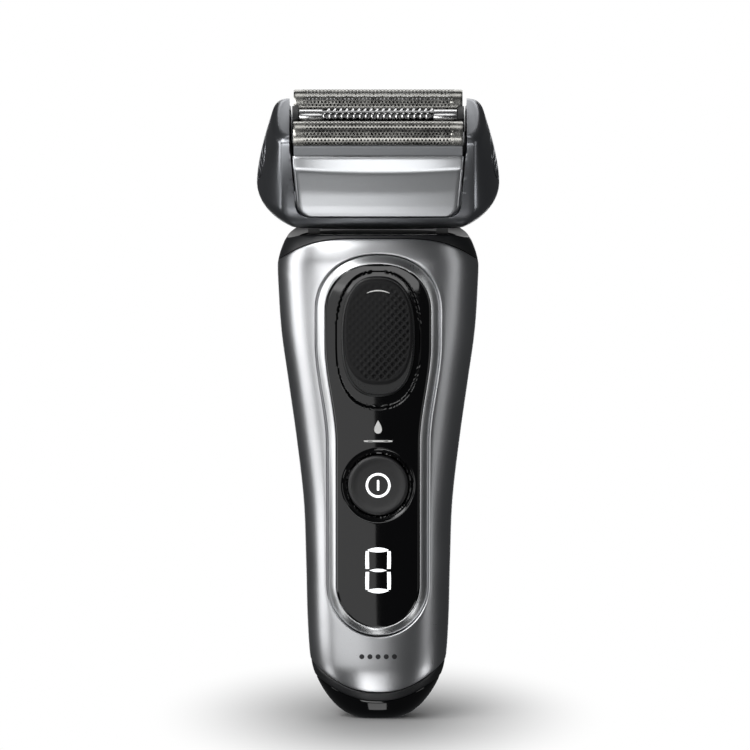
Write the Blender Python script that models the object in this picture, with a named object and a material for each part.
"""A foil shaver: a handle with a swivelling head, a lift-off foil cassette and a pop-up rear trimmer.

Sizes are in millimetres and become metres in build_mesh. X runs to the right, -Y is the front
and +Z is up, with the origin under the middle of the foot. Head pieces are placed in the head's
own frame, whose origin is the swivel axis: x, v towards the back, w towards the foils.
"""

import math

import bmesh
import bpy
from mathutils import Vector

MM = 0.001

# Handle skin: height, half width, depth in front of and behind the centre line.
HANDLE_STATIONS = (
    (0.0, 6.5, 5.5, 6.5),
    (1.4, 9.2, 7.6, 9.2),
    (3.4, 11.6, 9.2, 11.8),
    (6.4, 14.0, 10.8, 14.0),
    (10.2, 16.1, 12.0, 15.8),
    (14.5, 17.4, 12.8, 17.0),
    (25.0, 18.2, 13.2, 18.0),
    (40.0, 18.6, 13.4, 18.2),
    (56.0, 19.2, 13.5, 17.9),
    (72.0, 21.0, 13.8, 17.9),
    (87.0, 23.1, 14.2, 18.6),
    (100.0, 24.9, 14.4, 19.3),
    (112.0, 25.7, 14.2, 19.2),
    (118.5, 25.8, 13.8, 18.4),
    (121.5, 25.0, 13.3, 17.0),
    (124.0, 23.9, 12.6, 15.4),
    (126.4, 22.0, 11.4, 13.9),
    (129.0, 18.5, 9.5, 12.9),
)
HANDLE_SQUARENESS = 2.5  # superellipse exponent of the handle's cross-section
SIDE_SEAM = math.radians(3.5)  # angle of the seam between front shell and rear housing
WALL = 1.5
GAP = 0.3  # clearance between neighbouring pieces

SHELL_FOOT = (7.5, 8.8, 17.5, 2.6)  # centre height, rise at the side, half width, power
BAND_FOOT = (5.0, 7.2, 17.0, 2.6)
SHELL_HEAD = (125.0, -6.3, 25.8, 4.5)
COLLAR_TOP, COLLAR_BACK = 125.8, 128.6  # the collar rises behind the head
REAR_TOP = 118.7  # top edge of the rear housing

# Front panel outline: a wide round top that narrows to a slim round foot.
PANEL_TOP, PANEL_SHOULDER, PANEL_FOOT = 118.6, 106.4, 24.7
PANEL_WIDE, PANEL_SLIM = 13.6, 10.7
PANEL_TAPER = (71.8, 98.0)
BEZEL_WIDTH = 2.3
PANEL_SINK = -0.4  # the panel stands this far proud of the handle's skin
BEZEL_SINK = 0.5  # the bezel's outer edge lies this far under it
PANEL_THICK = 2.6

TRACK_CENTRE, TRACK_HALF = 99.2, (11.0, 17.8)
SLIDER_CENTRE, SLIDER_HALF = 100.0, (9.5, 15.5)
DISH_DEPTH = 1.3
BUTTON_HEIGHT, BUTTON_RADIUS, BUTTON_DISH = 61.5, 7.8, 9.4

# Head
PIVOT = Vector((0.0, -2.0, 138.9))
HEAD_TILT = math.radians(24.0)
HEAD_WIDE, HEAD_NECK_WIDE, HEAD_TOP_WIDE = 31.2, 16.0, 26.9
HEAD_FLAT = 24.3  # half width of the head's flat front
HEAD_CORNER = 6.0  # how much the flat front narrows at the underside
HEAD_DEEP, HEAD_TOP_FRONT, HEAD_TOP_REAR = 15.3, 12.5, 10.5
HEAD_UNDER = 11.2  # drop from the swivel axis to the underside
HEAD_TOP = 19.45
SEAT_RADIUS = 14.4  # hollow in the collar that the head swings in

FOIL_RADIUS, FOIL_WALL, FOIL_HALF = 4.2, 0.35, 21.7
FOIL_SPACING, FOIL_CENTRE = 8.5, 17.6
CUTTER_RADIUS, CUTTER_HALF = 3.5, 17.8
CASSETTE_TOP, CASSETTE_FOOT = 14.8, -2.2
CASSETTE_CORNER = 3.3
DRIVE_PIN_TOP = 12.2

ARM_INNER, ARM_OUTER = 15.0, 18.0
PIN_RADIUS = 1.5
SWING = (math.radians(8.0), math.radians(40.0))  # tilt of the arm slots' two edges
FLOOR = 4.2  # floor of the cassette bay over the swivel axis

RELEASE_CENTRE, RELEASE_RADIUS = 7.5, 5.6

TRIMMER_HALF, TRIMMER_FOOT, TRIMMER_TOP = 10.5, 84.0, 113.0

MATERIALS = {
    "silver": ((0.62, 0.62, 0.63), 0.32, 0.9),
    "dark_silver": ((0.36, 0.37, 0.38), 0.35, 0.8),
    "gloss_black": ((0.012, 0.012, 0.013), 0.08, 0.0),
    "matt_black": ((0.02, 0.02, 0.021), 0.5, 0.0),
    "rubber": ((0.03, 0.03, 0.032), 0.8, 0.0),
    "steel": ((0.75, 0.75, 0.76), 0.22, 1.0),
    "grey_plastic": ((0.25, 0.26, 0.27), 0.45, 0.0),
    "copper": ((0.72, 0.35, 0.18), 0.3, 1.0),
    "gold": ((0.85, 0.62, 0.25), 0.25, 1.0),
    "board": ((0.02, 0.16, 0.07), 0.5, 0.0),
    "cell": ((0.05, 0.22, 0.45), 0.4, 0.0),
}


def clear_scene():
    for old in list(bpy.data.objects):
        bpy.data.objects.remove(old)


def material(name):
    found = bpy.data.materials.get(name)
    if found:
        return found
    made = bpy.data.materials.new(name)
    made.use_nodes = True
    shader = made.node_tree.nodes["Principled BSDF"]
    colour, roughness, metallic = MATERIALS[name]
    shader.inputs["Base Color"].default_value = (*colour, 1.0)
    shader.inputs["Roughness"].default_value = roughness
    shader.inputs["Metallic"].default_value = metallic
    return made


# ---- mesh helpers -------------------------------------------------------------------------


def build_mesh(name, points, faces, finish, parent=None):
    """An object from points in millimetres, with its faces turned outwards."""
    mesh = bpy.data.meshes.new(name)
    mesh.from_pydata([Vector(p) * MM for p in points], [], faces)
    shape = bmesh.new()
    shape.from_mesh(mesh)
    bmesh.ops.recalc_face_normals(shape, faces=shape.faces)
    shape.to_mesh(mesh)
    shape.free()
    mesh.shade_smooth()
    mesh.set_sharp_from_angle(angle=math.radians(35))
    mesh.materials.append(material(finish))
    made = bpy.data.objects.new(name, mesh)
    bpy.context.scene.collection.objects.link(made)
    made.parent = parent
    return made


def loft(name, rings, finish, parent=None):
    """A closed solid through rings of the same number of points, capped at both ends."""
    count = len(rings[0])
    points = [p for ring in rings for p in ring]
    faces = [tuple(range(count)), tuple(range(len(points) - count, len(points)))]
    for row in range(len(rings) - 1):
        for i in range(count):
            j = (i + 1) % count
            low, high = row * count, (row + 1) * count
            faces.append((low + i, low + j, high + j, high + i))
    return build_mesh(name, points, faces, finish, parent)


def ring_sweep(name, sections, finish, parent=None):
    """A closed ring through closed cross-sections, the last joined to the first."""
    count = len(sections[0])
    points = [p for section in sections for p in section]
    faces = []
    for s in range(len(sections)):
        here, after = s * count, ((s + 1) % len(sections)) * count
        for i in range(count):
            j = (i + 1) % count
            faces.append((here + i, here + j, after + j, after + i))
    return build_mesh(name, points, faces, finish, parent)


def sheet_solid(name, outer, inner, finish, parent=None):
    """A curved plate between two grids of points, given as rows of equal length."""
    rows, columns = len(outer), len(outer[0])
    points = [p for grid in (outer, inner) for row in grid for p in row]
    back = rows * columns
    faces = []
    for r in range(rows - 1):
        for c in range(columns - 1):
            a = r * columns + c
            quad = (a, a + 1, a + columns + 1, a + columns)
            faces.append(quad)
            faces.append(tuple(back + i for i in quad))
    edge = [(0, c) for c in range(columns)]
    edge += [(r, columns - 1) for r in range(1, rows)]
    edge += [(rows - 1, c) for c in range(columns - 2, -1, -1)]
    edge += [(r, 0) for r in range(rows - 2, 0, -1)]
    rim = [r * columns + c for r, c in edge]
    for a, b in zip(rim, rim[1:] + rim[:1]):
        faces.append((a, b, back + b, back + a))
    return build_mesh(name, points, faces, finish, parent)


def prism(name, outline, start, end, finish, axis="z", parent=None):
    """An outline in two axes, extruded along the third from start to end."""
    place = {
        "x": lambda p, s: (s, p[0], p[1]),
        "y": lambda p, s: (p[0], s, p[1]),
        "z": lambda p, s: (p[0], p[1], s),
    }[axis]
    rings = [[place(p, s) for p in outline] for s in (start, end)]
    return loft(name, rings, finish, parent)


def box(name, low, high, finish, parent=None):
    corners = [(low[0], low[1]), (high[0], low[1]), (high[0], high[1]), (low[0], high[1])]
    return prism(name, corners, low[2], high[2], finish, "z", parent)


def circle(radius, centre=(0.0, 0.0), count=24):
    turns = [2 * math.pi * i / count for i in range(count)]
    return [(centre[0] + radius * math.cos(t), centre[1] + radius * math.sin(t)) for t in turns]


def superellipse(half, centre=(0.0, 0.0), squareness=2.0, count=32):
    points = []
    for i in range(count):
        turn = 2 * math.pi * (i + 0.5) / count
        c, s = math.cos(turn), math.sin(turn)
        x = half[0] * math.copysign(abs(c) ** (2 / squareness), c)
        y = half[1] * math.copysign(abs(s) ** (2 / squareness), s)
        points.append((centre[0] + x, centre[1] + y))
    return points


def rounded_rectangle(half, radius, centre=(0.0, 0.0), steps=3):
    points = []
    for quarter, (sx, sy) in enumerate(((1, 1), (-1, 1), (-1, -1), (1, -1))):
        for i in range(steps + 1):
            turn = math.pi / 2 * (quarter + i / steps)
            x = sx * (half[0] - radius) + radius * math.cos(turn)
            y = sy * (half[1] - radius) + radius * math.sin(turn)
            points.append((centre[0] + x, centre[1] + y))
    return points


def turned(name, profile, finish, axis="z", centre=(0.0, 0.0, 0.0), count=20, parent=None):
    """A solid of revolution from (radius, place along the axis) pairs, capped at both ends."""
    across = {"x": (1, 2), "y": (0, 2), "z": (0, 1)}[axis]
    along = "xyz".index(axis)
    rings = []
    for radius, place in profile:
        ring = []
        for a, b in circle(radius, count=count):
            point = list(centre)
            point[across[0]] += a
            point[across[1]] += b
            point[along] += place
            ring.append(tuple(point))
        rings.append(ring)
    return loft(name, rings, finish, parent)


def coil_spring(name, radius, wire, low, high, turns, centre, finish, parent=None, axis="z"):
    """A compression spring: a helix swept with a five-sided wire section."""
    steps = turns * 10
    rings = []
    for i in range(steps + 1):
        turn = 2 * math.pi * turns * i / steps
        rise = low + (high - low) * i / steps
        ring = []
        for side in range(5):
            angle = 2 * math.pi * side / 5
            reach = radius + wire * math.cos(angle)
            point = (reach * math.cos(turn), reach * math.sin(turn), rise + wire * math.sin(angle))
            if axis == "x":
                point = (point[2], point[0], point[1])
            ring.append(tuple(c + p for c, p in zip(centre, point)))
        rings.append(ring)
    return loft(name, rings, finish, parent)


def combine(target, tool, operation):
    """Adds a Boolean; the tool becomes a hidden helper."""
    change = target.modifiers.new(operation.lower() + "_" + tool.name, "BOOLEAN")
    change.operation = operation
    change.object = tool
    change.solver = "EXACT"
    tool.hide_render = True
    tool.display_type = "WIRE"
    return target


def cut(target, *tools):
    for tool in tools:
        combine(target, tool, "DIFFERENCE")
    return target


def join(target, *tools):
    for tool in tools:
        combine(target, tool, "UNION")
    return target


# ---- handle skin --------------------------------------------------------------------------


def handle_size(z):
    """Half width, front depth and rear depth at a height, by a smooth curve through the stations."""
    stations = HANDLE_STATIONS
    z = min(max(z, stations[0][0]), stations[-1][0])
    k = 0
    while k < len(stations) - 2 and z > stations[k + 1][0]:
        k += 1
    before, start = stations[max(k - 1, 0)], stations[k]
    end, after = stations[k + 1], stations[min(k + 2, len(stations) - 1)]
    span = end[0] - start[0]
    t = (z - start[0]) / span
    sizes = []
    for i in (1, 2, 3):
        slope_in = (end[i] - before[i]) / (end[0] - before[0]) * span
        slope_out = (after[i] - start[i]) / (after[0] - start[0]) * span
        sizes.append(
            (2 * t**3 - 3 * t**2 + 1) * start[i]
            + (t**3 - 2 * t**2 + t) * slope_in
            + (3 * t**2 - 2 * t**3) * end[i]
            + (t**3 - t**2) * slope_out
        )
    return sizes


def skin_point(turn, z, inset=0.0):
    """A point of the handle's skin. A turn of 0 is +X, 90 degrees the back, -90 the front."""
    wide, front, rear = (size - inset for size in handle_size(z))
    c, s = math.cos(turn), math.sin(turn)
    power = 2 / HANDLE_SQUARENESS
    deep = rear if s > 0 else front
    return (
        wide * math.copysign(abs(c) ** power, c),
        deep * math.copysign(abs(s) ** power, s),
        z,
    )


def edge_height(curve, turn, z_guess=60.0):
    """Height of a curved trim line that rises towards the sides of the handle."""
    middle, rise, half, power = curve
    x = skin_point(turn, z_guess)[0]
    return middle + rise * min(abs(x) / half, 1.0) ** power


def front_depth(x, z, inset=0.0):
    """Y of the front skin at a place of the front view."""
    wide, front, _ = (size - inset for size in handle_size(z))
    reach = max(0.0, 1 - (abs(x) / wide) ** HANDLE_SQUARENESS)
    return -front * reach ** (1 / HANDLE_SQUARENESS)


def panel_half_width(z):
    low, high = PANEL_TAPER
    t = min(max((z - low) / (high - low), 0.0), 1.0)
    return PANEL_SLIM + (PANEL_WIDE - PANEL_SLIM) * t * t * (3 - 2 * t)


def panel_outline(grow=0.0, arc_steps=9, side_steps=6):
    """The keyhole-shaped outline of the front panel in x and z, counter-clockwise."""
    top, foot = PANEL_SHOULDER, PANEL_FOOT + PANEL_SLIM
    right = []
    for i in range(arc_steps + 1):
        turn = math.pi / 2 * (i / arc_steps - 1)
        radius = PANEL_SLIM + grow
        right.append((radius * math.cos(turn), foot + radius * math.sin(turn)))
    for i in range(1, side_steps + 1):
        z = foot + (top - foot) * i / (side_steps + 1)
        right.append((panel_half_width(z) + grow, z))
    for i in range(arc_steps + 1):
        turn = math.pi / 2 * i / arc_steps
        x = (PANEL_WIDE + grow) * math.cos(turn) ** 0.9
        right.append((max(x, 0.0), top + (PANEL_TOP - top + grow) * math.sin(turn) ** 0.95))
    left = [(-x, z) for x, z in reversed(right[1:-1])]
    return right + left


# ---- handle -------------------------------------------------------------------------------


def side_grid(turns, foot_curve, head_curve, inset, rows, head_flat=None):
    grid = []
    for r in range(rows):
        line = []
        for turn in turns:
            low = edge_height(foot_curve, turn, 12.0)
            high = edge_height(head_curve, turn, 118.0) if head_flat is None else head_flat
            line.append(skin_point(turn, low + (high - low) * r / (rows - 1), inset))
        grid.append(line)
    return grid


def front_shell():
    count, rows = 23, 16
    turns = [-SIDE_SEAM - (math.pi - 2 * SIDE_SEAM) * i / (count - 1) for i in range(count)]
    outer = side_grid(turns, SHELL_FOOT, SHELL_HEAD, 0.0, rows)
    inner = side_grid(turns, SHELL_FOOT, SHELL_HEAD, WALL, rows)
    shell = sheet_solid("front_shell", outer, inner, "silver")
    opening = prism("front_opening", panel_outline(BEZEL_WIDTH + GAP), -30, -5, "silver", "y")
    return cut(shell, opening)


def front_bezel():
    sections = []
    for (x0, z0), (x1, z1) in zip(panel_outline(GAP), panel_outline(BEZEL_WIDTH)):
        sections.append(
            (
                (x1, front_depth(x1, z1, BEZEL_SINK), z1),
                (x0, front_depth(x0, z0, PANEL_SINK), z0),
                (x0, front_depth(x0, z0, BEZEL_SINK + 1.2), z0),
                (x1, front_depth(x1, z1, BEZEL_SINK + 1.2), z1),
            )
        )
    return ring_sweep("front_bezel", sections, "silver")


def display_panel():
    """The glossy panel: a curved plate with a dish for the lock slider and a bore for the button."""
    outline = panel_outline()
    count = len(outline)
    half = count // 2
    outer, inner = [], []
    for grid, inset in ((outer, PANEL_SINK), (inner, PANEL_SINK + PANEL_THICK)):
        for c in range(7):
            share = c / 6
            line = []
            for i in range(1, half):
                right, left = outline[i], outline[count - i]
                x = left[0] + (right[0] - left[0]) * share
                line.append((x, front_depth(x, right[1], inset), right[1]))
            grid.append(line)
    panel = sheet_solid("display_panel", outer, inner, "gloss_black")
    dish = []
    for depth, shrink in ((6.0, 0.0), (-DISH_DEPTH, 0.0)):
        ring = []
        for x, z in superellipse(TRACK_HALF, (0, TRACK_CENTRE), 2.5, 36):
            ring.append((x * (1 - shrink), front_depth(x, z, PANEL_SINK) - depth, z))
        dish.append(ring)
    track = loft("slider_track", dish, "gloss_black")
    low = TRACK_CENTRE - 6.5
    slot = box("slider_slot", (-2.6, -16, low), (2.6, -5, low + 13.0), "gloss_black")
    bore = turned("button_bore", ((BUTTON_RADIUS + GAP, -20), (BUTTON_RADIUS + GAP, -4)),
                  "gloss_black", "y", (0, 0, BUTTON_HEIGHT), 32)
    face = front_depth(0, BUTTON_HEIGHT, PANEL_SINK)
    saucer = turned("button_saucer", ((BUTTON_DISH + 1.5, face - 2), (BUTTON_RADIUS, face + 0.9)),
                    "gloss_black", "y", (0, 0, BUTTON_HEIGHT), 32)
    return cut(panel, track, slot, bore, saucer)


def rear_housing():
    count, rows = 23, 14
    turns = [SIDE_SEAM + (math.pi - 2 * SIDE_SEAM) * i / (count - 1) for i in range(count)]
    turns[0] -= 2 * SIDE_SEAM - 0.02
    turns[-1] += 2 * SIDE_SEAM - 0.02
    outer = side_grid(turns, SHELL_FOOT, SHELL_HEAD, 0.0, rows, REAR_TOP)
    inner = side_grid(turns, SHELL_FOOT, SHELL_HEAD, WALL, rows, REAR_TOP)
    housing = sheet_solid("rear_housing", outer, inner, "matt_black")
    half, top = TRIMMER_HALF + GAP, 130.0
    pocket = prism("trimmer_window", [(-half, TRIMMER_FOOT - GAP), (half, TRIMMER_FOOT - GAP),
                                      (half, top), (-half, top)], 8, 40, "matt_black", "y")
    bore = turned("screw_bore", ((1.9, 10), (1.9, 30)), "matt_black", "y", (0, 0, 24.0), 16)
    return cut(housing, pocket, bore)


def rear_grip():
    """A soft pad with cross ribs, laid on the back of the rear housing."""
    outer, inner = [], []
    for r in range(19):
        z = 32.0 + 45.0 * r / 18
        rib = 0.95 if r % 2 else 0.6
        ends = math.sqrt(max(0.0, 1 - ((z - 54.5) / 24.0) ** 4))
        line_out, line_in = [], []
        for c in range(9):
            turn = math.pi / 2 + math.radians(50) * ends * (c / 4 - 1)
            line_out.append(skin_point(turn, z, -rib))
            line_in.append(skin_point(turn, z, -0.32))
        outer.append(line_out)
        inner.append(line_in)
    return sheet_solid("rear_grip", outer, inner, "rubber")


def base_band():
    sections = []
    for i in range(32):
        turn = 2 * math.pi * (i + 0.5) / 32
        high = edge_height(SHELL_FOOT, turn, 12.0) - GAP
        low = edge_height(BAND_FOOT, turn, 10.0) + GAP
        sections.append(
            (
                skin_point(turn, high, 0.25),
                skin_point(turn, (high + low) / 2, 0.2),
                skin_point(turn, low, 0.25),
                skin_point(turn, low, 2.0),
                skin_point(turn, high, 2.0),
            )
        )
    return ring_sweep("base_band", sections, "matt_black")


def base_cap():
    """The glossy foot, with a flat land round the charging socket."""
    hole = (4.0, 2.7)
    sections = []
    for i in range(32):
        turn = 2 * math.pi * (i + 0.5) / 32
        top = edge_height(BAND_FOOT, turn, 10.0)
        c, s = math.cos(turn), math.sin(turn)
        mouth = (hole[0] * math.copysign(abs(c) ** 0.6, c), hole[1] * math.copysign(abs(s) ** 0.6, s))
        levels = [top * share for share in (1.0, 0.66, 0.36, 0.14, 0.0)]
        section = [skin_point(turn, z, 0.35) for z in levels]
        section += [(*mouth, 0.0), (*mouth, 2.2)]
        section += [skin_point(turn, max(z, 2.2) if z else 2.2, 1.8) for z in levels[2:0:-1]]
        section.append(skin_point(turn, top, 1.8))
        sections.append(section)
    return ring_sweep("base_cap", sections, "gloss_black")


def charging_socket():
    cup = prism("charging_socket", rounded_rectangle((3.6, 2.3), 1.4), 0.6, 9.0, "matt_black")
    well = prism("socket_well", rounded_rectangle((2.9, 1.7), 1.0), 0.0, 7.0, "matt_black")
    cut(cup, well)
    for side, label in ((-1, "left"), (1, "right")):
        turned("socket_pin_" + label, ((0.45, 1.6), (0.55, 2.0), (0.55, 6.7)), "gold",
               "z", (1.5 * side, 0, 0), 10)


def top_collar():
    """The black shoulders: flush with the skin, with a hollow seat for the head to swing in."""
    sections = []
    for i in range(44):
        turn = 2 * math.pi * (i + 0.5) / 44
        c, s = math.cos(turn), math.sin(turn)
        low = REAR_TOP + GAP if s > 0 else edge_height(SHELL_HEAD, turn, 118.0) + 1.3 * GAP
        rise = min(max((s + 0.35) / 1.2, 0.0), 1.0)
        high = max(COLLAR_TOP + (COLLAR_BACK - COLLAR_TOP) * rise * rise * (3 - 2 * rise), low + 0.3)
        skirt = min(low - 1.2, 119.4)
        mouth = (20.4 * math.copysign(abs(c) ** 0.5, c), PIVOT.y + 6.0 * math.copysign(abs(s) ** 0.5, s))
        sections.append(
            (
                skin_point(turn, low, 0.1),
                skin_point(turn, (low + high) / 2, 0.1),
                skin_point(turn, high - 0.15, 0.2),
                skin_point(turn, high, 0.9),
                (*mouth, high),
                (*mouth, 121.2),
                skin_point(turn, 121.2, 3.6),
                skin_point(turn, skirt, 3.6),
                skin_point(turn, skirt, WALL + 0.45),
                skin_point(turn, low, WALL + 0.45),
            )
        )
    collar = ring_sweep("top_collar", sections, "matt_black")
    seat = turned("head_seat", ((SEAT_RADIUS, -30), (SEAT_RADIUS, 30)), "matt_black", "x", PIVOT, 56)
    window = box("collar_notch", (-TRIMMER_HALF - GAP, 13.2, 112.0),
                 (TRIMMER_HALF + GAP, 30.0, 130.0), "matt_black")
    return cut(collar, seat, window)


def swivel_yoke():
    """Two arms that carry the head, on one foot inside the collar."""
    y, z = PIVOT.y, PIVOT.z
    foot = box("swivel_yoke", (-18.4, y - 3.6, 117.5), (18.4, y + 4.6, 120.6), "dark_silver")
    for side, label in ((-1, "left"), (1, "right")):
        start, end = sorted((side * ARM_INNER, side * ARM_OUTER))
        outline = [(y + 2.6, 118.5), (y + 2.6, z)]
        outline += [(y + 2.6 * math.cos(math.pi * i / 8), z + 2.6 * math.sin(math.pi * i / 8))
                    for i in range(1, 8)]
        outline += [(y - 2.6, z), (y - 2.6, 118.5)]
        arm = prism("yoke_arm_" + label, outline, start, end, "dark_silver", "x")
        bore = PIN_RADIUS + GAP / 2
        eye = turned("yoke_eye_" + label, ((bore, start - 2), (bore, end + 2)), "dark_silver", "x", PIVOT, 20)
        join(foot, arm)
        cut(foot, eye)
        pin_start, pin_end = sorted((side * (ARM_INNER - 0.3), side * 22.0))
        turned("swivel_pin_" + label, ((PIN_RADIUS, pin_start), (PIN_RADIUS, pin_end)),
               "steel", "x", PIVOT, 20)
    return foot


def neck_seal():
    """A soft lip round the yoke arms, inside the collar's mouth."""
    sections = []
    for i in range(32):
        turn = 2 * math.pi * (i + 0.5) / 32
        c, s = math.cos(turn), math.sin(turn)
        ring = []
        for grow, z in ((0.0, 121.3), (0.0, 123.6), (-1.0, 123.6), (-1.0, 121.3)):
            reach = (20.0 + grow, 5.5 + grow)
            ring.append((reach[0] * math.copysign(abs(c) ** 0.5, c),
                         PIVOT.y + reach[1] * math.copysign(abs(s) ** 0.5, s), z))
        sections.append(ring)
    return ring_sweep("neck_seal", sections, "rubber")


def handle_inside():
    """Frame, cell, board, display and switch. All of it is closed in by the casings."""
    frame = box("inner_frame", (-14.2, -1.6, 16.0), (14.2, 0.4, 112.0), "grey_plastic")
    for side, label in ((-1, "left"), (1, "right")):
        low, high = sorted((side * 12.6, side * 14.2))
        join(frame, box("frame_rail_" + label, (low, -5.0, 24.0), (high, 8.0, 108.0), "grey_plastic"))
    boss = turned("screw_boss", ((2.6, -0.6), (2.6, 14.4)), "grey_plastic", "y", (0, 0, 24.0), 16)
    thread = turned("screw_hole", ((1.3, 8.0), (1.3, 16.0)), "grey_plastic", "y", (0, 0, 24.0), 16)
    cut(join(frame, boss), thread)
    profile = ((6.2, 32.0), (7.0, 32.8), (7.0, 81.2), (6.2, 82.0), (2.7, 82.0), (2.7, 83.2))
    turned("battery_cell", profile, "cell", "z", (0, 8.0, 0), 24)
    box("circuit_board", (-9.0, -6.4, 26.0), (9.0, -5.4, 92.0), "board")
    box("display_module", (-5.6, -8.4, 30.5), (5.6, -6.8, 48.5), "grey_plastic")
    box("power_switch", (-3.0, -8.4, BUTTON_HEIGHT - 3), (3.0, -6.8, BUTTON_HEIGHT + 3), "matt_black")
    box("control_chip", (-4.0, -8.0, 72.0), (4.0, -6.8, 80.0), "matt_black")
    turned("case_screw", ((1.7, 17.0), (1.7, 15.6), (1.0, 15.6), (1.0, 9.6)), "steel",
           "y", (0, 0, 24.0), 14)


def power_button():
    face = front_depth(0, BUTTON_HEIGHT, PANEL_SINK)
    profile = ((7.0, face + 0.15), (7.55, face + 0.3), (BUTTON_RADIUS, face + 0.7),
               (BUTTON_RADIUS, -11.2), (2.0, -11.2), (2.0, -9.6))
    return turned("power_button", profile, "gloss_black", "y", (0, 0, BUTTON_HEIGHT), 32)


def slider_rings(half, centre, levels, squareness=2.5, count=36):
    """Rings for a piece that follows the panel's face, each level as (depth, shrink)."""
    rings = []
    for depth, shrink in levels:
        ring = []
        for x, z in superellipse((half[0] - shrink, half[1] - shrink), centre, squareness, count):
            ring.append((x, front_depth(x, z, PANEL_SINK) + depth, z))
        rings.append(ring)
    return rings


def lock_slider():
    centre = (0.0, SLIDER_CENTRE)
    body = loft("lock_slider", slider_rings(SLIDER_HALF, centre, ((DISH_DEPTH - GAP, 0.0), (0.1, 0.1),
                                                                   (-0.35, 0.6))), "matt_black")
    recess = loft("pad_recess", slider_rings((8.3, 13.0), (0, SLIDER_CENTRE + 0.9),
                                             ((-3.0, 0.0), (0.2, 0.0))), "matt_black")
    stem = box("slider_stem", (-2.0, -14.2, SLIDER_CENTRE - 3.4), (2.0, -8.0, SLIDER_CENTRE + 5.2),
               "matt_black")
    cut(body, recess)
    join(body, stem)
    loft("slider_pad", slider_rings((8.0, 12.7), (0, SLIDER_CENTRE + 0.9), ((-0.15, 0.0), (-0.7, 0.5))),
         "rubber")
    plate = box("lock_bar", (-4.5, -7.5, SLIDER_CENTRE - 4.0), (4.5, -6.5, SLIDER_CENTRE + 6.0), "steel")
    rod = box("lock_rod", (-1.5, -7.45, SLIDER_CENTRE + 5.0), (1.5, -6.55, 116.0), "steel")
    join(plate, rod)
    return body


def rear_trimmer():
    """A carrier that slides up in the back of the handle, with a fixed and a moving comb blade."""
    outer, inner = [], []
    for r in range(9):
        z = TRIMMER_FOOT + (TRIMMER_TOP - TRIMMER_FOOT) * r / 8
        line_out, line_in = [], []
        for c in range(9):
            x = TRIMMER_HALF * (c / 4 - 1)
            wide, _, rear = handle_size(z)
            deep = rear * (1 - (abs(x) / wide) ** HANDLE_SQUARENESS) ** (1 / HANDLE_SQUARENESS)
            line_out.append((x, deep + 0.1, z))
            line_in.append((x, 15.4, z))
        outer.append(line_out)
        inner.append(line_in)
    carrier = sheet_solid("trimmer_slide", outer, inner, "matt_black")
    for i in range(3):
        z = 89.0 + 2.6 * i
        join(carrier, box(f"thumb_rib_{i}", (-6.0, 17.0, z), (6.0, 20.6, z + 1.2), "matt_black"))
    for name, depth, teeth, top, finish in (("trimmer_comb", 17.0, 12, 118.6, "steel"),
                                            ("trimmer_blade", 15.9, 9, 118.0, "steel")):
        half = 9.4 if name == "trimmer_comb" else 8.2
        outline = [(-half, TRIMMER_TOP + GAP), (half, TRIMMER_TOP + GAP)]
        pitch = 2 * half / teeth
        for i in range(teeth):
            right = half - pitch * i
            outline += [(right, 115.6), (right - 0.25 * pitch, top), (right - 0.55 * pitch, top),
                        (right - 0.8 * pitch, 115.6)]
        prism(name, outline, depth, depth + 0.7, finish, "y")
    return carrier


# ---- head ---------------------------------------------------------------------------------


def head_size(w):
    """Half width, front depth and rear depth of the head at a height above the swivel axis."""
    if w >= 0:
        t = w / HEAD_TOP
        return (HEAD_WIDE - (HEAD_WIDE - HEAD_TOP_WIDE) * t**1.6,
                HEAD_DEEP - (HEAD_DEEP - HEAD_TOP_FRONT) * t**2.2,
                HEAD_DEEP - (HEAD_DEEP - HEAD_TOP_REAR) * t**3)
    c = math.sqrt(max(0.0, 1 - (w / HEAD_UNDER) ** 2))
    return HEAD_NECK_WIDE + (HEAD_WIDE - HEAD_NECK_WIDE) * c, HEAD_DEEP * c, HEAD_DEEP * c


def head_side(wide, deep, flat, flat_steps, side_steps):
    """A quarter of the head's outline, from the middle of a flat face to the widest point."""
    crown = 0.04 * deep
    corner = ((flat, deep - crown), (flat + 2.4, deep - 1.5 * crown), (wide, 0.45 * deep), (wide, 0.0))
    outline = [(flat * i / flat_steps, deep - crown * (i / flat_steps) ** 2) for i in range(flat_steps)]
    for i in range(side_steps + 1):
        t = i / side_steps
        share = ((1 - t) ** 3, 3 * t * (1 - t) ** 2, 3 * t * t * (1 - t), t**3)
        outline.append(tuple(sum(k * p[axis] for k, p in zip(share, corner)) for axis in (0, 1)))
    return outline


def head_ring(w, inset=0.0, flat_steps=3, side_steps=8):
    """The head's outline at a height: flat in front and behind, with slanting sides."""
    wide, front, rear = (max(size - inset, 0.6) for size in head_size(w))
    flat = min(HEAD_FLAT, wide - 3.0) - HEAD_CORNER * max(0.0, -w / HEAD_UNDER) ** 1.3
    back = head_side(wide, rear, flat, flat_steps, side_steps)
    face = [(x, -v) for x, v in reversed(head_side(wide, front, flat, flat_steps, side_steps))]
    right = back[1:] + face[1:-1]
    outline = [back[0], *right, face[-1]] + [(-x, v) for x, v in reversed(right)]
    return [(x, v, w) for x, v in outline]


def head_skin(name, finish, parent):
    rings = [head_ring(-HEAD_UNDER * math.sin(math.radians(a))) for a in (85, 70, 55, 42, 28, 14)]
    rings += [head_ring(w) for w in (0.0, 4.0, 8.0, 12.0, 15.5, HEAD_TOP - 1.5)]
    rings += [head_ring(HEAD_TOP - 0.5, 0.45), head_ring(HEAD_TOP, 1.5)]
    return loft(name, rings, finish, parent)


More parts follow.
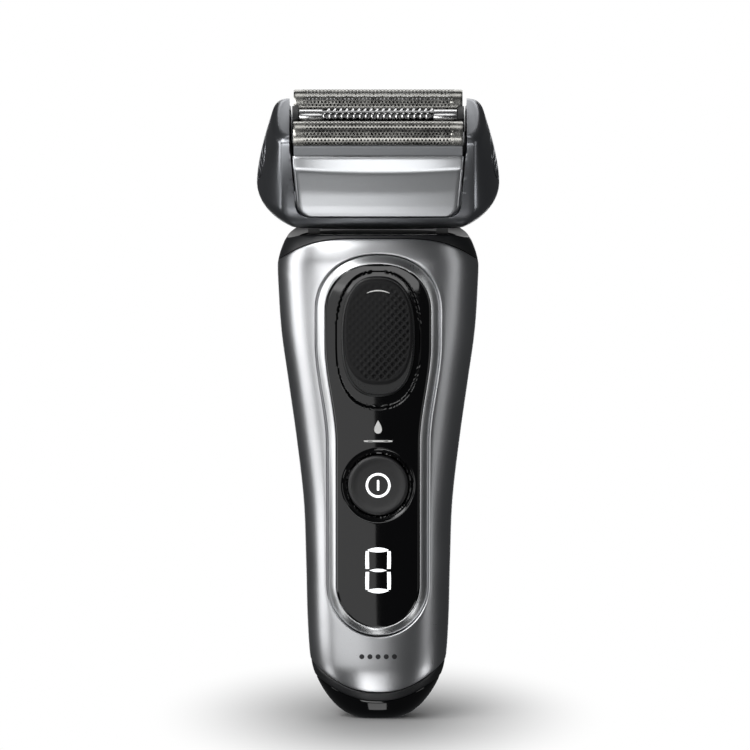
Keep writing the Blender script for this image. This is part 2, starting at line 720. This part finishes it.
def cassette_half_width(w, grow=0.0):
    """Half width of the cassette: it narrows downwards and ends in round corners."""
    side = 20.6 + 1.5 * (w - CASSETTE_FOOT) / (CASSETTE_TOP - CASSETTE_FOOT)
    drop = max(0.0, 1 - (w - CASSETTE_FOOT) / CASSETTE_CORNER)
    return side - CASSETTE_CORNER * (1 - math.sqrt(max(0.0, 1 - drop * drop))) + grow


def cassette_half_depth(w):
    stations = ((CASSETTE_FOOT, 15.0), (1.0, 15.3), (5.0, 15.4), (10.4, 15.1), (CASSETTE_TOP, 13.9))
    for (w0, d0), (w1, d1) in zip(stations, stations[1:]):
        if w <= w1:
            return d0 + (d1 - d0) * (w - w0) / (w1 - w0)
    return stations[-1][1]


def arm_slot_outline():
    """The room one yoke arm needs in the head through the whole swing, in v and w."""
    reach, far = 3.1, 18.0
    low, high = SWING
    turns = [-low + (math.pi - high + low) * i / 9 for i in range(10)]
    outline = [(reach * math.cos(t), reach * math.sin(t)) for t in turns]
    outline.append((outline[-1][0] - far * math.sin(high), outline[-1][1] - far * math.cos(high)))
    outline.append((outline[0][0] - far * math.sin(low), outline[0][1] - far * math.cos(low)))
    return outline


def head_housing(parent):
    housing = head_skin("head_housing", "dark_silver", parent)
    levels = [CASSETTE_FOOT - 0.4 + step for step in (0.0, 0.25, 0.7, 1.4, 2.4, 3.6)]
    right = [(cassette_half_width(w + 0.4, 0.4), w) for w in levels]
    top = [(22.5, CASSETTE_TOP + 0.2), (23.2, CASSETTE_TOP + 0.9), (23.2, 26.0)]
    recess = right + top
    recess += [(-x, w) for x, w in reversed(recess)]
    bay = [(cassette_half_width(FLOOR, 0.4), FLOOR)] + top
    bay += [(-x, w) for x, w in reversed(bay)]
    for name, outline, start, end in (("plate_recess_front", recess, -25, -12.9),
                                      ("plate_recess_rear", recess, 12.9, 25),
                                      ("cassette_bay", bay, -14, 14)):
        cut(housing, prism(name, outline, start, end, "dark_silver", "y", parent))
    well = [(11.6 * math.cos(math.pi * (1 + i / 16)), 9.6 * math.sin(math.pi * (1 + i / 16)))
            for i in range(17)]
    well += [(11.6, FLOOR + 1), (-11.6, FLOOR + 1)]
    cut(housing, prism("motor_chamber", well, -13.2, 13.2, "dark_silver", "x", parent))
    for side, label in ((-1, "left"), (1, "right")):
        for name, outline, near, far in (
            ("arm_slot_", arm_slot_outline(), ARM_INNER - 0.5, ARM_OUTER + 0.5),
            ("pin_bore_", circle(PIN_RADIUS + GAP, count=20), ARM_OUTER, 22.4),
            ("release_pocket_", circle(RELEASE_RADIUS + GAP, (0, RELEASE_CENTRE), 28), 24.6, 40.0),
        ):
            start, end = sorted((side * near, side * far))
            cut(housing, prism(name + label, outline, start, end, "dark_silver", "x", parent))
    return housing


def release_buttons(parent):
    for side, label in ((-1, "left"), (1, "right")):
        skin = head_skin("release_skin_" + label, "dark_silver", parent)
        start, end = sorted((side * 26.9, side * 40.0))
        button = prism("release_button_" + label, circle(RELEASE_RADIUS, (0, RELEASE_CENTRE), 28),
                       start, end, "dark_silver", "x", parent)
        combine(button, skin, "INTERSECT")
        start, end = sorted((side * 24.95, side * 26.45))
        coil_spring("release_spring_" + label, 2.0, 0.22, start, end, 2, (0, 0, RELEASE_CENTRE),
                    "steel", parent, "x")


def head_deck(parent):
    """The lid over the motor, with slots for the three drive pins."""
    lid = prism("head_deck", rounded_rectangle((16.0, 12.4), 2.0), 4.5, 5.7, "matt_black", "z", parent)
    skirt = prism("deck_skirt", rounded_rectangle((12.8, 11.2), 1.5), 3.5, 5.1, "matt_black", "z", parent)
    hollow = prism("deck_hollow", rounded_rectangle((11.8, 10.2), 1.0), 0.0, 4.5, "matt_black", "z", parent)
    cut(join(lid, skirt), hollow)
    for v, label in ((-FOIL_SPACING, "front"), (0.0, "middle"), (FOIL_SPACING, "rear")):
        cut(lid, box("pin_slot_" + label, (-2.9, v - 1.4, 3.0), (2.9, v + 1.4, 8.0), "matt_black", parent))
    return lid


def motor(parent):
    """A linear motor: a coil on an E-shaped core drives two armatures in opposite directions."""
    frame = box("motor_frame", (-11.8, -5.0, -8.2), (11.8, 5.0, -7.2), "steel", parent)
    for side, label in ((-1, "left"), (1, "right")):
        low, high = sorted((side * 10.9, side * 11.8))
        join(frame, box("motor_upright_" + label, (low, -5.0, -7.7), (high, 5.0, 1.0), "steel", parent))
        low, high = sorted((side * 12.1, side * 12.4))
        box("leaf_spring_" + label, (low, -5.5, -6.0), (high, 5.5, 1.2), "steel", parent)
    outline = [(-8, -6.8), (8, -6.8), (8, -1.0), (6, -1.0), (6, -4.2), (2, -4.2), (2, -1.0), (-2, -1.0),
               (-2, -4.2), (-6, -4.2), (-6, -1.0), (-8, -1.0)]
    prism("motor_core", outline, -5.2, 5.2, "grey_plastic", "y", parent)
    coil = prism("motor_coil", rounded_rectangle((5.6, 7.4), 1.8), -3.9, -1.2, "copper", "z", parent)
    cut(coil, prism("coil_eye", rounded_rectangle((2.35, 5.6), 0.6), -6, 2, "copper", "z", parent))
    for side, label in ((-1, "front"), (1, "rear")):
        near, far = (-9.9, -1.6) if side < 0 else (1.6, 9.9)
        plate = box("armature_" + label, (-9.0, near, 1.9), (9.0, far, 3.1), "steel", parent)
        centre = side * FOIL_SPACING
        stalk = box("drive_pin_" + label, (-1.2, centre - 1.0, 2.5), (1.2, centre + 1.0, DRIVE_PIN_TOP),
                    "steel", parent)
        join(plate, stalk)
        if side < 0:
            tongue = box("trimmer_tongue", (-1.1, -2.4, 2.1), (1.1, 0.8, 2.9), "steel", parent)
            finger = box("trimmer_finger", (-0.9, -0.7, 2.3), (0.9, 0.7, 10.6), "steel", parent)
            join(plate, tongue, finger)
        box("magnet_" + label, (-6.0, near + 1.0, -0.4), (6.0, far - 0.6, 1.6), "grey_plastic", parent)
        coil_spring("cutter_spring_" + label, 1.9, 0.22, 6.9, 8.4, 2, (0, centre, 0), "steel", parent)


def cassette(parent):
    levels = [CASSETTE_FOOT + step for step in (0.0, 0.35, 1.0, 2.0, 3.3, 7.2, 12.6, 17.0)]
    outer, inner = [], []
    for w in levels:
        half = (cassette_half_width(w), cassette_half_depth(w))
        outer.append([(x, v, w) for x, v in rounded_rectangle(half, 0.8)])
        wall = min(1.5, half[1] - 13.3)
        thin = (min(half[0] - 0.9, 19.75 + 0.08 * (w - CASSETTE_FOOT)), half[1] - wall)
        inner.append([(x, v, w) for x, v in rounded_rectangle(thin, 0.5)])
    count = len(outer[0])
    sections = []
    for i in range(count):
        sections.append([ring[i] for ring in outer] + [ring[i] for ring in reversed(inner)])
    frame = ring_sweep("cassette_frame", sections, "dark_silver", parent)
    cut(frame, box("cassette_gap", (-30, -13.12, 9.0), (30, 13.12, 30), "dark_silver", parent),
        box("cassette_arch", (-30, -13.2, -6.0), (30, 13.2, FLOOR + 0.3), "dark_silver", parent))
    deck = prism("cassette_deck", rounded_rectangle((19.4, 12.9), 0.4), 7.2, 8.3, "matt_black", "z", parent)
    for v, half, label in ((-FOIL_SPACING, 5.7, "front"), (0.0, 3.6, "middle"), (FOIL_SPACING, 5.7, "rear")):
        cut(deck, box("deck_slot_" + label, (-half, v - 2.7, 6), (half, v + 2.7, 10), "matt_black", parent))
    return frame


def foil_unit(label, centre, parent):
    """One foil arch on its floating frame, with the cutter block that runs under it."""
    half_v = 4.4
    frame = box("foil_frame_" + label, (-FOIL_HALF + 0.1, centre - half_v, 10.3),
                (FOIL_HALF - 0.1, centre + half_v, FOIL_CENTRE - 0.3), "dark_silver", parent)
    cut(frame, box("foil_frame_gap_" + label, (-20.0, centre - 3.3, 8), (20.0, centre + 3.3, 20),
                   "dark_silver", parent))
    outer, inner = [], []
    for i in range(15):
        turn = math.pi * i / 14
        for line, radius in ((outer, FOIL_RADIUS), (inner, FOIL_RADIUS - FOIL_WALL)):
            v, w = centre + radius * math.cos(turn), FOIL_CENTRE + radius * math.sin(turn)
            line.append([(-FOIL_HALF, v, w), (FOIL_HALF, v, w)])
    sheet_solid("foil_" + label, outer, inner, "steel", parent)
    outline = [(centre + 2.6, 11.8), (centre + 2.6, FOIL_CENTRE - 0.1)]
    outline += [(centre + CUTTER_RADIUS * math.cos(math.pi * i / 12),
                 FOIL_CENTRE + CUTTER_RADIUS * math.sin(math.pi * i / 12)) for i in range(13)]
    outline += [(centre - 2.6, FOIL_CENTRE - 0.1), (centre - 2.6, 11.8)]
    block = prism("cutter_block_" + label, outline, -CUTTER_HALF, CUTTER_HALF, "steel", "x", parent)
    stem = box("cutter_stem_" + label, (-4.0, centre - 2.3, 8.9), (4.0, centre + 2.3, 12.4),
               "steel", parent)
    socket = box("cutter_socket_" + label, (-1.6, centre - 1.35, 8.0), (1.6, centre + 1.35, 14.0),
                 "steel", parent)
    join(block, stem)
    cut(block, socket)


def comb_outline(half, teeth, width, root):
    """A bar with teeth along both long edges, in x and v, the two rows half a pitch apart."""
    pitch = 2 * half / teeth
    front = []
    for i in range(teeth):
        x = -half + pitch * i
        front += [(x, -root), (x + 0.2 * pitch, -width), (x + 0.55 * pitch, -width),
                  (x + 0.75 * pitch, -root)]
    back = [(-x, -v) for x, v in front]
    return front, back


def middle_trimmer(parent):
    """The long-hair trimmer between the foils: a toothed guard over a moving blade."""
    carrier = box("trimmer_carrier", (-20.6, -3.6, 10.3), (20.6, 3.6, 18.5), "matt_black", parent)
    cut(carrier, box("carrier_groove", (-17.2, -1.7, 16.6), (17.2, 1.7, 20.0), "matt_black", parent),
        box("carrier_slot", (-3.4, -1.7, 9.0), (3.4, 1.7, 18.0), "matt_black", parent))
    front, back = comb_outline(14.4, 18, 2.0, 0.7)
    ends = 20.2
    outline = [(-ends, -1.9), *front, (ends, -1.9), (ends, 1.9), *back, (-ends, 1.9)]
    prism("trimmer_guard", outline, 19.5, 20.7, "steel", "z", parent)
    front, back = comb_outline(13.6, 16, 1.4, 0.6)
    outline = [(-15.4, -1.3), *front, (15.4, -1.3), (15.4, 1.3), *back, (-15.4, 1.3)]
    blade = prism("middle_blade", outline, 17.0, 19.1, "steel", "z", parent)
    tail = box("blade_tail", (-1.9, -1.2, 9.0), (1.9, 1.2, 17.6), "steel", parent)
    fork = box("blade_fork", (-1.25, -2.0, 8.0), (1.25, 2.0, 12.4), "steel", parent)
    join(blade, tail)
    cut(blade, fork)


def head():
    frame = bpy.data.objects.new("head_frame", None)
    bpy.context.scene.collection.objects.link(frame)
    frame.location = PIVOT * MM
    frame.rotation_euler = (HEAD_TILT, 0.0, 0.0)
    head_housing(frame)
    release_buttons(frame)
    head_deck(frame)
    motor(frame)
    cassette(frame)
    foil_unit("front", -FOIL_SPACING, frame)
    foil_unit("rear", FOIL_SPACING, frame)
    middle_trimmer(frame)


def handle():
    front_shell()
    front_bezel()
    display_panel()
    rear_housing()
    rear_grip()
    base_band()
    base_cap()
    charging_socket()
    top_collar()
    swivel_yoke()
    neck_seal()
    handle_inside()
    power_button()
    lock_slider()
    rear_trimmer()


clear_scene()
handle()
head()
